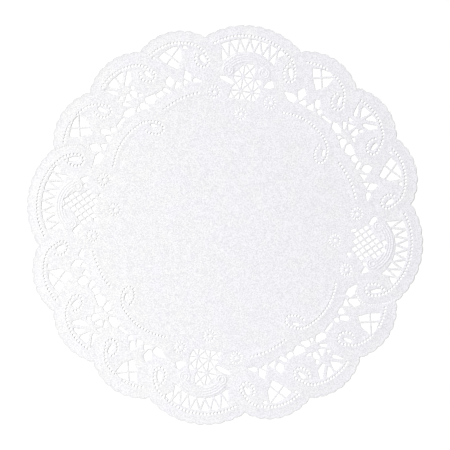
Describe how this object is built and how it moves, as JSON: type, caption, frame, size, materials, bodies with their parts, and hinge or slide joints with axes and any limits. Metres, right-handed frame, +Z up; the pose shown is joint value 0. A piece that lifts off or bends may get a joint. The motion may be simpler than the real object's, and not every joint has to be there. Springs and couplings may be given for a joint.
{
  "type": "paper lace doily",
  "caption": "Round white paper lace doily with a scalloped, nibbled rim, cut-out lace panels and pressed relief, laid flat under food or an ornament.",
  "frame": {"origin": "centre of the sheet's underside, on the surface that it rests on", "axes": "+Z up, out of the embossed side; +Y towards a web panel; +X towards a net panel"},
  "size_m": [0.252, 0.2544, 0.0014],
  "materials": {
    "paper": "matt white embossed paper"
  },
  "bodies": {
    "root": {"doily": "paper"}
  },
  "joints": []
}
